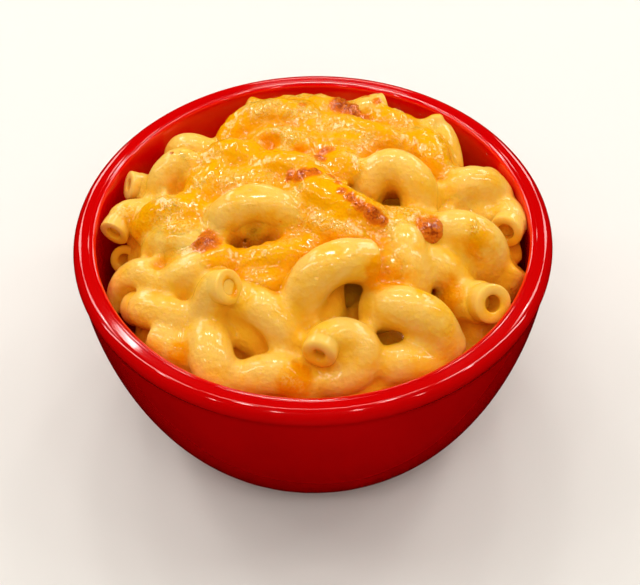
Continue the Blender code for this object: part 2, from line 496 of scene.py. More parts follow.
@dataclass(frozen=True)
class FoodColours:
    """The colours that the pasta, the sauce and the melted cheese share, so that they run together.

    Attributes:
        pale: Sauce-coated pasta.
        warm: Pasta under a thicker coat of sauce.
        curd: The fine dry grain on the melted cheese's high spots.
        crest: Melted cheese between the grains.
        pool: Melted cheese lying thick in a hollow.
        halo: Cheese round a browned spot.
        hollow: Painted shade on pasta and sauce deep in a gap or under an overhang: a darker, redder orange.
        cheese_gap_shade: Painted shade on melted cheese deep in a gap: a darker, redder orange.
        deep_gap_shade: The darkest painted shade, at the bottom of the deepest gaps.
        brown: A browned spot.
        toast: The spot's darkest part.
    """

    pale: Colour = (0.89, 0.53, 0.10)
    warm: Colour = (0.89, 0.45, 0.018)
    curd: Colour = (0.94, 0.64, 0.16)
    crest: Colour = (0.88, 0.385, 0.0006)
    pool: Colour = (0.85, 0.275, 0.0002)
    halo: Colour = (0.88, 0.24, 0.001)
    hollow: Colour = (0.80, 0.30, 0.008)
    cheese_gap_shade: Colour = (0.84, 0.23, 0.0005)
    deep_gap_shade: Colour = (0.42, 0.10, 0.002)
    brown: Colour = (0.74, 0.17, 0.008)
    toast: Colour = (0.36, 0.045, 0.004)

    @staticmethod
    def grain(bench: NodeBench) -> Value:
        """Return how much fine dry grain there is at every point: most on the high spots, in patches."""
        patch = bench.cloud(110.0, 3.0, 0.6)
        fine = bench.cloud(1500.0, 2.0, 0.7)
        dry = (1.0 - bench.attribute("shut").rise(0.10, 0.45)) * patch.rise(0.46, 0.60)
        return dry * ((fine - 0.5) * 6.0 + 0.5).clamped()

    def colour(self, bench: NodeBench) -> Value:
        """Return the food's colour at every point, from what is painted there.

        Args:
            bench: The material to add it to.

        Returns:
            The colour.
        """
        patch = bench.cloud(150.0, 3.0, 0.6)
        streak = bench.cloud(420.0, 3.0, 0.6)
        speck = bench.cloud(1150.0, 2.0, 0.6)
        shut = bench.attribute("shut")
        cover = bench.attribute("cheddar")
        pasta = bench.blend((shut * 1.2 + (patch - 0.5) * 1.8).rise(0.0, 0.8), self.pale, self.warm)
        # Painted shade: pasta and sauce turn to the darker hollow colour where they are shut in deep.
        pasta = bench.blend(shut.rise(0.55, 1.15), pasta, self.hollow)
        sunk = (shut * 1.2 + (patch - 0.5) * 0.8).rise(0.05, 0.7)
        cheese = bench.blend(sunk, self.crest, self.pool)
        cheese = bench.blend(((speck - 0.5) * 4.0).clamped() * 0.2, cheese, self.warm)
        cheese = bench.blend(self.grain(bench) * 0.8, cheese, self.curd)
        # Painted shade: melted cheese turns darker and redder where it is shut in deep.
        cheese = bench.blend(shut.rise(0.6, 1.1), cheese, self.cheese_gap_shade)
        spread = (cover + (streak - 0.5) * 0.5 + (patch - 0.5) * 0.5).rise(0.30, 0.75)
        # Painted shade: the deepest gaps are painted darkest of all.
        return bench.blend(shut.rise(1.0, 1.4), bench.blend(spread, pasta, cheese), self.deep_gap_shade)


@dataclass(frozen=True)
class PastaFinish:
    """Cooked pasta under a moist coat of cheese sauce.

    Attributes:
        colours: The food's colours.
    """

    colours: FoodColours = FoodColours()

    def material(self) -> bpy.types.Material:
        """Return the finish as a material."""
        bench = NodeBench("coated_pasta")
        grain = bench.cloud(900.0, 3.0, 0.6)
        lumps = bench.cloud(260.0, 2.0)
        normal = bench.bump(lumps, 0.5, 0.5 * MM)
        return bench.finish(
            Base_Color=self.colours.colour(bench),
            Roughness=0.36 + grain * 0.2,
            Normal=bench.bump(grain, 0.5, 0.2 * MM, normal),
            Specular_IOR_Level=0.0,
            Coat_Weight=0.8,
            Coat_Roughness=0.10,
            Subsurface_Weight=0.35,
            Subsurface_Radius=(1.0, 0.55, 0.12),
            Subsurface_Scale=2.5 * MM,
        )


@dataclass(frozen=True)
class SauceFinish:
    """Thick glossy cheese sauce.

    Attributes:
        colours: The food's colours.
    """

    colours: FoodColours = FoodColours()

    def material(self) -> bpy.types.Material:
        """Return the finish as a material."""
        bench = NodeBench("cheese_sauce")
        lumps = bench.cloud(260.0, 2.0)
        grain = bench.cloud(900.0, 3.0, 0.6)
        normal = bench.bump(lumps, 0.5, 0.5 * MM)
        return bench.finish(
            Base_Color=self.colours.colour(bench),
            Roughness=0.3 + lumps * 0.15,
            Normal=bench.bump(bench.cells(800.0), 0.4, 0.3 * MM, bench.bump(grain, 0.8, 0.35 * MM, normal)),
            Specular_IOR_Level=0.0,
            Coat_Weight=0.8,
            Coat_Roughness=0.09,
            Subsurface_Weight=0.35,
            Subsurface_Radius=(1.0, 0.55, 0.12),
            Subsurface_Scale=2.5 * MM,
        )


@dataclass(frozen=True)
class CheddarFinish:
    """Melted cheddar: oily, finely blistered, browned in spots.

    Attributes:
        colours: The food's colours.
    """

    colours: FoodColours = FoodColours()

    def material(self) -> bpy.types.Material:
        """Return the finish as a material."""
        bench = NodeBench("melted_cheddar")
        streak = bench.cloud(420.0, 3.0, 0.6)
        speck = bench.cloud(1150.0, 2.0, 0.6)
        scorch = bench.attribute("browned")
        edge = (scorch + (speck - 0.5) * 0.4).clamped()
        glow = bench.blend(scorch.rise(0.05, 0.45), self.colours.colour(bench), self.colours.halo)
        body = bench.blend(edge.rise(0.32, 0.72), glow, self.colours.brown)
        colour = bench.blend((edge - (speck - 0.35) * 1.6).rise(0.55, 0.95), body, self.colours.toast)
        blisters = bench.cells(1300.0)
        normal = bench.bump(self.colours.grain(bench), 0.8, 0.35 * MM, bench.bump(streak, 0.5, 0.5 * MM))
        return bench.finish(
            Base_Color=colour,
            Roughness=0.3 + speck * 0.25,
            Normal=bench.bump(blisters * (scorch * 3.0 + 0.9), 0.5, 0.35 * MM, bench.bump(speck, 0.3, 0.3 * MM, normal)),
            Specular_IOR_Level=0.0,
            Coat_Weight=0.9,
            Coat_Roughness=0.07,
            Subsurface_Weight=0.35,
            Subsurface_Radius=(1.0, 0.35, 0.05),
            Subsurface_Scale=2.5 * MM,
        )


@dataclass(frozen=True)
class TableFinish:
    """The plain pale floor.

    Attributes:
        colour: Its one colour.
    """

    colour: Colour = (0.78, 0.76, 0.73)

    def material(self) -> bpy.types.Material:
        """Return the finish as a material."""
        bench = NodeBench("pale_floor")
        return bench.finish(Base_Color=self.colour, Roughness=0.6)


# ---------------------------------------------------------------- the bowl


@dataclass(frozen=True)
class Bowl:
    """The glazed bowl: foot ring, rounded wall and rolled lip, turned in one piece.

    Attributes:
        rim_radius: The lip's outer radius.
        height: From the table to the top of the lip.
        lip_overhang: How far the lip stands out from the wall.
        lip_depth: How far the wall's top lies under the lip's top.
        belly_radius: The outer wall's radius at the table.
        belly_round: The power of the outer wall's curve.
        inner_radius: The inner wall's radius at the top.
        inner_round: The power of the inner wall's curve.
        floor_height: From the table to the inner floor.
        foot_radius: The foot ring's outer radius.
        foot_width: The foot ring's width.
        foot_height: The foot ring's height.
        turns: Faces round the bowl.
        stations: Points up each side of the wall.
    """

    rim_radius: float = 56.0 * MM
    height: float = 54.5 * MM
    lip_overhang: float = 0.8 * MM
    lip_depth: float = 5.6 * MM
    belly_radius: float = 34.0 * MM
    belly_round: float = 1.6
    inner_radius: float = 50.6 * MM
    inner_round: float = 3.0
    floor_height: float = 6.0 * MM
    foot_radius: float = 33.5 * MM
    foot_width: float = 4.0 * MM
    foot_height: float = 1.8 * MM
    turns: int = 224
    stations: int = 36

    @staticmethod
    def spread(part: float, power: float) -> float:
        """Return how far out a wall has come, 0 to 1, when it has risen by part of its height."""
        return (1.0 - (1.0 - part) ** power) ** (1.0 / power)

    @staticmethod
    def arc(x: float, z: float, radius: float, start: float, end: float, count: int) -> list[Vector]:
        """Return points along an arc in the X-Z plane, between two angles in degrees."""
        angles = [math.radians(start + (end - start) * step / (count - 1)) for step in range(count)]
        return [Vector((x + radius * math.cos(a), 0.0, z + radius * math.sin(a))) for a in angles]

    def profile(self) -> list[Vector]:
        """Return the section from the inner floor's middle, over the lip, to the foot's middle."""
        inner_top = self.height - 1.6 * MM
        wall_top = self.height - self.lip_depth
        body_radius = self.rim_radius - self.lip_overhang
        points = []
        for step in range(self.stations):
            part = (step / self.stations) ** 1.5
            radius = self.inner_radius * self.spread(part, self.inner_round)
            points.append(Vector((radius, 0.0, self.floor_height + (inner_top - self.floor_height) * part)))
        ridge = self.arc(self.inner_radius + 1.2 * MM, self.height - 1.2 * MM, 1.2 * MM, 174, 68, 12)
        roll = self.arc(self.rim_radius - 2.6 * MM, self.height - 2.85 * MM, 2.6 * MM, 82, -26, 18)
        points += ridge + [ridge[-1].lerp(roll[0], part) for part in (0.1, 0.5, 0.9)] + roll
        wall = []
        for step in range(self.stations, -1, -1):
            part = (step / self.stations) ** 1.5
            reach = self.belly_radius + (body_radius - self.belly_radius) * self.spread(part, self.belly_round)
            wall.append(Vector((reach, 0.0, wall_top * part)))
        handle = points[-1] + (points[-1] - points[-2]).normalized() * 1.6 * MM
        rise = wall[1] + (wall[1] - wall[2]).normalized() * 1.0 * MM
        points += geometry.interpolate_bezier(points[-1], handle, rise, wall[1], 7)[1:]
        points += wall[2:]
        inside = self.foot_radius - self.foot_width
        points += [
            Vector((self.foot_radius, 0.0, 0.0)),
            Vector((inside, 0.0, 0.0)),
            Vector((inside - self.foot_height, 0.0, self.foot_height)),
            Vector((0.0, 0.0, self.foot_height)),
        ]
        return points

    def build(self) -> bpy.types.Object:
        """Turn the section about the bowl's axis and glaze it.

        Returns:
            The bowl.
        """
        points = self.profile()
        bpy.ops.mesh.primitive_plane_add(size=1.0 * MM, location=points[0])
        bowl = bpy.context.view_layer.objects.active
        bowl.name = "glazed_bowl"
        with Workshop.editing(bowl):
            bpy.ops.mesh.merge(type="CENTER")
            for here, ahead in zip(points, points[1:]):
                bpy.ops.mesh.extrude_region_move(TRANSFORM_OT_translate={"value": ahead - here})
            bpy.ops.mesh.select_all(action="SELECT")
            bpy.ops.mesh.spin(steps=self.turns, angle=math.tau, center=(0, 0, 0), axis=(0, 0, 1))
            bpy.ops.mesh.select_all(action="SELECT")
            bpy.ops.mesh.remove_doubles(threshold=0.005 * MM)
            bpy.ops.mesh.dissolve_degenerate(threshold=0.001 * MM)
            bpy.ops.mesh.select_all(action="SELECT")
            bpy.ops.mesh.normals_make_consistent(inside=False)
        Workshop.settle(bowl)
        # Mark the inner wall, and a band along the lip's top at a third of the strength, for the glaze's painted light
        # and painted highlight.
        places, normals = Workshop.coordinates(bowl), Workshop.normals(bowl)
        inward = -np.sum(normals[:, :2] * places[:, :2], axis=1) / (np.linalg.norm(places[:, :2], axis=1) + 1e-6)
        height = places[:, 2] / self.height
        inner = smooth_step(0.3, 0.7, inward) * smooth_step(0.55, 0.75, height)
        Workshop.paint(bowl, "inner", np.maximum(inner, 0.35 * smooth_step(0.92, 0.98, height)))
        Workshop.take(bowl)
        bpy.ops.object.shade_smooth_by_angle(angle=math.radians(40))
        bowl.data.materials.append(GlazeFinish().material())
        return bowl


# ---------------------------------------------------------------- the food's layout


class Coat(Enum):
    """How much melted cheese lies on a piece of macaroni."""

    BARE = 0.0
    THIN = 0.35
    THICK = 1.0


class Cut(Enum):
    """Which of an elbow's ends is open to view."""

    NONE = (False, False)
    FIRST = (True, False)
    LAST = (False, True)


@dataclass(frozen=True)
class Elbow:
    """One piece of macaroni, bent through a few places.

    Attributes:
        name: What this piece is called.
        places: Where its centre line passes, in millimetres.
        coat: The cheese on it.
        cut: The end that is open to view.
        girth: Its thickness against the usual one.
        bore: The hole's width against the whole tube's.
        plug: How deep the sauce lies in its open end, in millimetres.
    """

    name: str
    places: tuple[Place, ...]
    coat: Coat = Coat.BARE
    cut: Cut = Cut.NONE
    girth: float = 1.0
    bore: float = 0.48
    plug: float = 2.5

    def path(self, stations: int) -> list[Vector]:
        """Return evenly spaced points along the centre line.

        Args:
            stations: How many points.

        Returns:
            The points, in metres.
        """
        places = [Vector(place) * MM for place in self.places]
        if len(places) == 3:
            return self.arc_through(*places, stations)
        return self.curve_through(places, stations)

    @staticmethod
    def arc_through(start: Vector, middle: Vector, end: Vector, stations: int) -> list[Vector]:
        """Return points along the circle's arc through three points."""
        first = middle - start
        whole = end - start
        normal = first.cross(whole)
        if normal.length < 1e-9:
            return [start.lerp(end, step / (stations - 1)) for step in range(stations)]
        offset = normal.cross(first) * whole.length_squared + whole.cross(normal) * first.length_squared
        centre = start + offset / (2.0 * normal.length_squared)
        side = start - centre
        ahead = normal.normalized().cross(side)
        sweep = math.atan2((end - centre).dot(ahead), (end - centre).dot(side)) % math.tau
        angles = [sweep * step / (stations - 1) for step in range(stations)]
        return [centre + side * math.cos(angle) + ahead * math.sin(angle) for angle in angles]

    @staticmethod
    def curve_through(points: list[Vector], stations: int) -> list[Vector]:
        """Return points along a Catmull-Rom curve through four or more points."""
        padded = [2 * points[0] - points[1], *points, 2 * points[-1] - points[-2]]
        spans = len(points) - 1
        found = []
        for step in range(stations):
            place = spans * step / (stations - 1)
            span = min(int(place), spans - 1)
            before, start, end, after = padded[span:span + 4]
            t = place - span
            found.append(0.5 * (
                2 * start
                + (end - before) * t
                + (2 * before - 5 * start + 4 * end - after) * t ** 2
                + (3 * start - before - 3 * end + after) * t ** 3
            ))
        return found


THIN, THICK = Coat.THIN, Coat.THICK

ELBOWS = (
    # front row, against the near wall
    Elbow("left_low_stub", ((-35, -28, 48), (-31, -31, 48), (-25, -33, 45))),
    Elbow("front_left_bulge", ((-23.7, -30, 50), (-22.6, -36.3, 50), (-20.5, -40, 43)), girth=1.15),
    Elbow("deep_pale", ((-17.7, -25.2, 47.5), (-14.9, -27.2, 48.3), (-11.5, -28, 44))),
    Elbow("front_bump", ((-16, -39, 43), (-10, -40, 49), (-2, -40, 43)), girth=1.05),
    Elbow("curl", ((0.7, -39.6, 54.4), (2.5, -35.2, 54), (6.1, -33.2, 53.5), (10.0, -34.7, 52), (10.5, -37.6, 49.5),
                   (6.8, -39.4, 47), (1.5, -38.8, 46)), cut=Cut.FIRST, girth=0.98, bore=0.32, plug=0.6),
    Elbow("curl_heart", ((3.6, -37.4, 51), (6, -37.2, 50.6), (8, -37, 49)), girth=0.75),
    Elbow("under_right_arch", ((16.1, -37, 47), (20.6, -37, 48.3), (26.1, -36, 43)), girth=1.04),
    # second row
    Elbow("left_wall_arch", ((-44, -14, 42), (-40, -12, 51), (-33, -17, 52))),
    Elbow("left_stub", ((-41, -18, 47), (-34.5, -23, 51), (-25.5, -25.5, 49)), cut=Cut.FIRST),
    Elbow("left_ledge", ((-35, -16, 49), (-28, -16, 56), (-19, -14, 57)), THIN),
    Elbow("tall_open", ((-18.2, -25.2, 61.6), (-21.2, -23.6, 59), (-23.4, -24.8, 53), (-23.2, -27.1, 46)),
          cut=Cut.FIRST, girth=0.98, bore=0.42, plug=0.0),
    Elbow("pale_bridge", ((-17, -23, 53), (-9, -29, 55), (-6, -33, 47)), girth=0.95),
    Elbow("front_arch", ((-4, -27, 47), (-1, -23, 59), (5, -20, 63), (13, -17, 60)), girth=1.14),
    Elbow("under_arch", ((2.6, -18, 54), (2.9, -21.8, 53.5), (3.2, -24, 48)), girth=0.95),
    Elbow("arch_end", ((14.6, -9.6, 55.5), (16.7, -14.8, 56), (17.3, -19, 52.5)), THICK, girth=0.95),
    Elbow("right_arch", ((13.1, -24, 51), (18.3, -27, 55.5), (25.2, -29.8, 54.7), (29.6, -32, 46)), girth=1.15),
    Elbow("open_tube", ((30.5, -17.5, 44), (34.5, -19, 48), (38.2, -21.8, 51), (40.2, -25.1, 54)),
          cut=Cut.LAST, girth=1.1, bore=0.42, plug=4.5),
    Elbow("right_wall_saddle", ((47, -9, 49), (45.5, -10, 47), (44, -11, 42)), girth=0.9),
    # right flank
    Elbow("glossy_low", ((24, -8, 51), (29, -13, 53), (33, -11, 46))),
    Elbow("draped_ridge", ((20.5, -7.5, 57), (21.5, -14, 56.5), (22, -18.5, 51)), THIN, girth=1.1),
    Elbow("right_shoulder", ((28, -2, 53), (34, -5, 57), (39.5, -7.5, 55), (42, -8.5, 46)), THIN, girth=1.1),
    Elbow("right_low_pale", ((46.5, -2.5, 48), (45.5, -2, 46), (44, -1, 42)), girth=0.85),
    Elbow("right_open", ((45, -1, 52), (46.5, 5, 50), (44, 12.5, 47)), cut=Cut.FIRST),
    Elbow("right_bump", ((30.5, 8.5, 51), (37, 11.5, 55), (44, 13, 49)), THIN, girth=1.1),
    Elbow("bump_foot", ((33.6, 9.5, 48.5), (37.3, 7.3, 50.3), (41.3, 8.5, 46)), THIN),
    Elbow("behind_bump", ((42.5, 20, 48), (43.5, 16, 49), (43, 14, 44)), girth=0.9),
    Elbow("sparkle_right", ((26, 28, 53), (29, 17, 56), (29, 12, 51)), THICK),
    Elbow("loop_arch", ((12.8, 6.5, 51), (12.8, 9.0, 57.5), (18.5, 11.9, 61.8), (24.6, 7.7, 60), (25, 4.1, 54)), girth=1.0),
    Elbow("crest_right", ((3.5, 13.2, 58), (8.2, 11.8, 61), (12, 10.5, 57)), THICK, girth=0.9),
    # middle
    Elbow("left_arch", ((-21.5, -4.5, 53), (-20, -3, 60.5), (-13.5, -1.5, 64), (-7, -2.8, 62.3), (-3.5, -4, 58)),
          THIN, girth=1.02),
    Elbow("arch_back", ((-24.5, 6.6, 55), (-17.3, 8.6, 58.5), (-5.5, 6.6, 59)), THICK),
    Elbow("arch_floor", ((-19, -7, 51.5), (-13, -7, 53), (-6, -7, 51.5)), girth=1.0),
    Elbow("centre_low_soft", ((-16, -13, 55), (-7, -14, 57.5), (2, -11, 56.5)), THICK),
    Elbow("pool_bed", ((-17, -18.5, 53.5), (-10, -20, 55), (-3, -18, 54.5)), THICK),
    Elbow("centre_soft", ((-13, 11, 57), (-5, 11, 62), (2, 7, 59)), THICK),
    Elbow("centre_slope", ((-1, 10, 60), (6, -2, 63), (14, -4, 59)), THICK),
    Elbow("centre_fill", ((1, -1, 58), (6, -9, 60), (13, -8, 56)), THICK),
    Elbow("centre_right", ((15.5, 0, 54.5), (20.5, -3, 56.8), (26, 0.5, 53)), THICK, girth=0.95),
    Elbow("back_middle", ((-13, 22, 56), (-7, 22, 60), (-1, 16, 57)), THICK, girth=0.95),
    Elbow("back_fill", ((3, 20, 57), (8, 21, 59), (13, 18, 56)), THICK, girth=0.95),
    # left flank
    Elbow("left_gap_low", ((-42, 5, 45), (-38, -1, 46), (-36, -6, 45)), girth=0.9),
    Elbow("left_low_open", ((-45, 0, 44), (-43, 2, 42), (-39, 0, 41)), cut=Cut.FIRST, girth=0.9),
    Elbow("left_open", ((-47, 1.7, 51.5), (-45.6, 4.4, 51.8), (-43, 6.9, 52.3), (-38, 7.4, 51)), cut=Cut.FIRST,
          girth=0.9, bore=0.48, plug=0.6),
    Elbow("left_back_open", ((-44.4, 17.2, 52.6), (-42.2, 17.8, 51.2), (-39, 19.5, 46.5)), THIN, Cut.FIRST, girth=0.85,
          bore=0.4, plug=1.0),
    Elbow("left_back_rib", ((-39, 9, 48), (-36, 12.5, 52), (-34, 15, 51)), THIN, girth=0.85),
    Elbow("middle_left_soft", ((-39, 2, 50), (-32, 2, 57), (-25, -1, 56)), THICK),
    Elbow("soft_low_left", ((-36, -4, 50), (-30, -7, 57), (-23, -10, 55)), THIN),
    Elbow("left_drape", ((-20, 14.5, 58), (-24.5, 9, 58.5), (-27.5, 3.5, 55)), THICK, girth=0.95),
    Elbow("upper_left_soft", ((-25, 15, 55), (-19, 18, 60), (-12, 15, 57)), THICK, girth=0.95),
    Elbow("brown_tip_arch", ((-36.5, 12, 49), (-35, 15.5, 56), (-31, 18, 58.5), (-27, 15.5, 56), (-27.5, 12, 51)),
          THIN, girth=0.9),
    Elbow("pale_back_left", ((-31, 30, 46), (-29, 28, 53.5), (-24.5, 26.5, 50)), girth=0.95),
    # back row
    Elbow("back_left_tip", ((-15, 40, 54), (-11, 39, 54), (-6, 38, 50)), THICK, girth=0.92),
    Elbow("back_left_arch", ((-20, 28, 53), (-13, 34, 57), (-2, 33, 57)), THICK),
    Elbow("crest_left", ((-6, 41, 53), (-1, 33, 57), (0, 24, 56)), THICK, girth=0.95),
    Elbow("back_ridge", ((-3, 41, 53), (3, 39, 55), (10, 38, 52)), THICK, girth=0.92),
    Elbow("ruffle_1", ((-8.2, 41.6, 54.6), (-6.8, 42.1, 55.6), (-5.4, 42, 54.6)), THICK, girth=0.42),
    Elbow("ruffle_2", ((-2.8, 42.2, 54.6), (-1.3, 42.6, 55.6), (0.2, 42.4, 54.6)), THICK, girth=0.42),
    Elbow("ruffle_3", ((1.9, 41.6, 54.8), (3.2, 41.7, 55.8), (4.6, 41.3, 54.8)), THICK, girth=0.42),
    Elbow("ruffle_4", ((-14.6, 41.2, 53), (-14.3, 42.3, 55), (-14.2, 42.5, 56)), THICK, girth=0.4),
    Elbow("back_tip", ((6, 39, 50), (12.5, 39.3, 53.5), (19, 40.5, 54.8)), THIN, Cut.LAST, plug=0.6),
    Elbow("back_tip_foot", ((17, 36, 53), (22, 33, 54), (26, 30, 49)), THICK),
    Elbow("back_covered", ((6, 32, 55), (13, 25, 59), (22, 24, 55)), THICK, girth=0.95),
    Elbow("back_right_tip", ((31, 33, 52.5), (32.5, 27.5, 52.5), (33, 22, 50)), THIN, girth=0.95),
    Elbow("back_right_point", ((32, 31.5, 54), (31, 33.5, 56), (30.6, 34.6, 57.6)), THIN, girth=0.45),
)


@dataclass(frozen=True)
class UnderLayer:
    """The elbows under the top ones, in rings, each turned a little.

    Attributes:
        rings: How many, how far out and how high, for each ring.
        chord: From one end of an elbow to the other.
        rise: How far its middle stands above its ends.
        turn_spread: The most that one is turned out of its ring.
        radius_spread: The most that one lies inside its ring.
        seed: Fixes the random turns.
    """

    rings: tuple[tuple[int, float, float], ...] = ((14, 41.5, 42.5), (6, 25.0, 46.5))
    chord: float = 15.0
    rise: float = 4.5
    turn_spread: float = math.radians(35)
    radius_spread: float = 1.5
    seed: int = 5

    def elbows(self) -> list[Elbow]:
        """Return the layer's elbows."""
        chance = random.Random(self.seed)
        rise = Vector((0.0, 0.0, self.rise))
        found = []
        for count, ring_radius, height in self.rings:
            for index in range(count):
                around = math.tau * index / count
                radius = ring_radius - chance.random() * self.radius_spread
                heading = around + math.pi / 2 + chance.uniform(-self.turn_spread, self.turn_spread)
                middle = Vector((radius * math.cos(around), radius * math.sin(around), height))
                half = Vector((math.cos(heading), math.sin(heading), 0.0)) * self.chord / 2
                places = (tuple(middle - half - rise), tuple(middle), tuple(middle + half - rise))
                found.append(Elbow(f"under_{len(found) + 1:02d}", places))
        return found


@dataclass(frozen=True)
class Spot:
    """A round place on the heap, seen from above.

    Attributes:
        place: Its middle, in millimetres.
        radius: Its radius in millimetres.
    """

    place: Place
    radius: float

    def distance(self, points: np.ndarray) -> np.ndarray:
        """Return each point's distance from the middle as a share of the radius.

        Args:
            points: One row of coordinates for each point.

        Returns:
            One number for each point, with heights counted less than widths.
        """
        away = (points - np.array(self.place) * MM) * np.array((1.0, 1.0, 0.4))
        return np.linalg.norm(away, axis=1) / (self.radius * MM)


@dataclass(frozen=True)
class Pool(Spot):
    """A patch of melted cheese, or of none, that the elbows' own coats don't give.

    Attributes:
        cover: The cheese in it, 0 to 1.
    """

    cover: float = 1.0


POOLS = (
    Pool((-19, -16.5, 60), 6.0),
    Pool((-9, -18, 58), 7.0),
    Pool((-3.2, -42, 52), 4.5, 0.8),
    Pool((-6.0, -44, 50), 4.0, 0.7),
    Pool((-30, -34.4, 51), 3.6, 0.8),
    Pool((15, -22, 61), 4.5, 0.9),
    Pool((24, -27, 58), 4.0, 0.7),
    Pool((31, -20, 51), 4.5, 0.9),
    Pool((38, -9, 55), 4.0, 0.8),
    Pool((-34, -13, 57), 4.5, 0.7),
    Pool((-30.4, -5.5, 57), 4.0),
    Pool((-43.4, 4.5, 55), 3.0, 0.9),
    Pool((-35, -20, 55), 3.0, 0.6),
    Pool((2, -36, 55), 2.5, 0.6),
    Pool((-18.2, -25.2, 61.5), 2.2, 1.0),
)


@dataclass(frozen=True)
class Pit(Spot):
    """A dimple where the cheese has sunk between the elbows.

    Attributes:
        depth: How deep it is, in millimetres.
    """

    depth: float = 2.5


PITS = (
    Pit((-9.5, 20.4, 60), 3.2, 3.0),
    Pit((-3.1, 16.0, 61), 2.6, 2.5),
    Pit((-31.9, 12.0, 55), 2.6, 3.0),
    Pit((-37.4, -8.2, 54), 2.0, 2.0),
    Pit((-35.0, -13.4, 56), 2.2, 1.6),
    Pit((-17.6, -8.6, 57), 2.8, 4.0),
    Pit((-13.2, -8.8, 58), 3.2, 4.5),
    Pit((-8.8, -8.4, 58), 2.6, 3.8),
    Pit((18.8, 7.0, 56), 2.2, 6.0),
    Pit((-29.5, -20.5, 54), 2.0, 3.0),
)


@dataclass(frozen=True)
class Blister(Spot):
    """A browned spot where the cheese has puffed and scorched.

    Attributes:
        puff: How far it stands up, in millimetres.
        scorch: How dark it is, 0 to 1.
    """

    puff: float = 0.8
    scorch: float = 1.0


BLISTERS = (
    Blister((7.4, 38.0, 58), 2.3, 1.3),
    Blister((9.6, 36.0, 58), 2.9, 1.7),
    Blister((12.2, 33.4, 59), 2.5, 1.3),
    Blister((3.6, 16.6, 62), 1.8, 1.0, 0.9),
    Blister((2.0, 12.6, 65), 1.6, 0.8, 0.9),
    Blister((-4.6, 6.2, 66), 1.3, 0.8, 0.9),
    Blister((-2.0, 4.8, 67), 1.8, 1.0),
    Blister((0.6, 4.8, 67), 1.5, 0.8),
    Blister((4.4, 5.2, 65), 1.0, 0.5, 0.7),
    Blister((5.8, 1.2, 66), 0.9, 0.4, 0.7),
    Blister((6.8, -1.6, 67), 1.0, 0.5, 0.8),
    Blister((8.7, -3.3, 67), 1.2, 0.6, 0.9),
    Blister((10.7, -4.8, 66), 1.3, 0.6, 0.95),
    Blister((13.6, -5.8, 64), 1.8, 0.9),
    Blister((15.8, -6.4, 63), 1.3, 0.6, 0.9),
    Blister((26.9, -6.4, 59), 3.0, 2.0),
    Blister((-24.0, -11.0, 61), 2.8, 2.0),
    Blister((-33.3, 18.0, 61), 1.1, 0.2, 0.6),
    Blister((13.4, 41.6, 59), 1.2, 0.3, 0.7),
    Blister((16.6, 39.0, 59), 1.0, 0.3, 0.6),
    Blister((21.0, 26.0, 61), 0.7, 0.2, 0.8),
    Blister((-2.0, 34.5, 62), 1.0, 0.2, 0.5),
)


class HeightMap:
    """The heap from above, as heights on a fine square grid."""

    STEP = 0.5 * MM
    HALF = 60.0 * MM
    BOTTOM = 40.0 * MM
    RINGS = (1.5 * MM, 3.0 * MM, 5.5 * MM)
    SPOKES = 10

    def __init__(self, elbows: Sequence[Elbow], radius: float) -> None:
        """Draw every elbow on the grid.

        Args:
            elbows: All the macaroni.
            radius: A tube's outer radius.
        """
        count = int(2 * self.HALF / self.STEP) + 1
        axis = np.linspace(-self.HALF, self.HALF, count)
        self.x, self.y = np.meshgrid(axis, axis, indexing="ij")
        self.heights = np.full((count, count), self.BOTTOM)
        for elbow in elbows:
            path = elbow.path(25)
            ends = [path[end] for end, cut in zip((0, -1), elbow.cut.value) if cut]
            for station in path:
                if all((station - end).length > 0.8 * radius for end in ends):
                    self.draw_ball(station, radius * elbow.girth)

    def draw_ball(self, middle: Vector, radius: float) -> None:
        """Raise the grid to a ball's top wherever the ball stands higher.

        Args:
            middle: The ball's middle.
            radius: Its radius.
        """
        inside = radius ** 2 - (self.x - middle.x) ** 2 - (self.y - middle.y) ** 2
        near = inside > 0.0
        self.heights[near] = np.maximum(self.heights[near], middle.z + np.sqrt(inside[near]))

    def at(self, x: np.ndarray, y: np.ndarray) -> np.ndarray:
        """Return the height over each place."""
        last = self.heights.shape[0] - 1
        column = np.clip(np.rint((x + self.HALF) / self.STEP), 0, last).astype(int)
        row = np.clip(np.rint((y + self.HALF) / self.STEP), 0, last).astype(int)
        return self.heights[column, row]

    def shut(self, points: np.ndarray) -> np.ndarray:
        """Return how far each point is shut in by what stands round it and over it.

        Args:
            points: One row of coordinates for each point.

        Returns:
            One number for each point, 0 in the open and 1 deep in a gap.
        """
        x, y, z = points.T
        walls = np.zeros(len(points))
        for spoke in range(self.SPOKES):
            angle = math.tau * spoke / self.SPOKES
            slope = np.zeros(len(points))
            for ring in self.RINGS:
                rise = self.at(x + ring * math.cos(angle), y + ring * math.sin(angle)) - z
                slope = np.maximum(slope, rise / ring)
            walls += slope / np.sqrt(1.0 + slope ** 2)
        # Painted shade follows this measure: points under an overhang count as more shut in, so that they are painted
        # darker.
        roof = np.clip((self.at(x, y) - z - 1.0 * MM) / (5.0 * MM), 0.0, 1.0)
        return np.clip(walls / self.SPOKES + 0.35 * roof, 0.0, 1.0)


